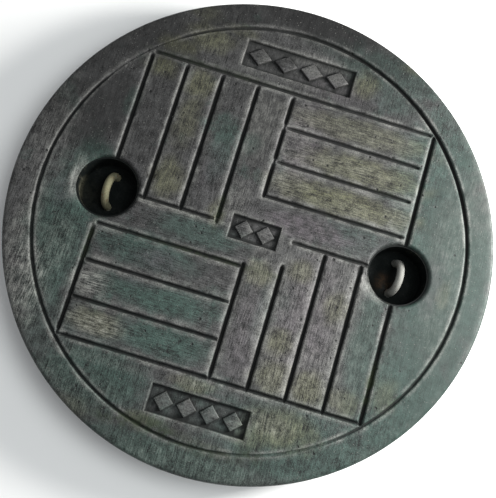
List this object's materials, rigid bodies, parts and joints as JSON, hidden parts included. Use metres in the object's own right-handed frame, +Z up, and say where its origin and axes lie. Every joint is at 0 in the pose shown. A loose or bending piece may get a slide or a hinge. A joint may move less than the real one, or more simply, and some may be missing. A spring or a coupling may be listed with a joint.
{
  "type": "manhole cover",
  "caption": "Round concrete manhole cover with a grooved basket-weave top, sunk panels and a steel lifting loop in each of its side pockets.",
  "frame": {"origin": "middle of the flat underside", "axes": "+Z up through the walked-on face, +X through the right-hand lifting pocket, +Y towards the longer sunk panel"},
  "size_m": [0.6, 0.6, 0.06],
  "materials": {
    "slab_concrete": "matte",
    "cup_plastic": "matte",
    "loop_steel": "satin",
    "bar_steel": "matte"
  },
  "bodies": {
    "root": {"cover_slab": "slab_concrete", "pocket_cup_left": "cup_plastic", "pocket_cup_right": "cup_plastic", "lifting_loop_left": "loop_steel", "lifting_loop_right": "loop_steel", "edge_hoop_bar": "bar_steel", "main_bar_1": "bar_steel", "main_bar_2": "bar_steel", "main_bar_3": "bar_steel", "main_bar_4": "bar_steel", "main_bar_5": "bar_steel", "main_bar_6": "bar_steel", "main_bar_7": "bar_steel", "cross_bar_1": "bar_steel", "cross_bar_2": "bar_steel", "cross_bar_3": "bar_steel", "cross_bar_4": "bar_steel", "cross_bar_5": "bar_steel", "cross_bar_6": "bar_steel", "cross_bar_7": "bar_steel"}
  },
  "joints": []
}
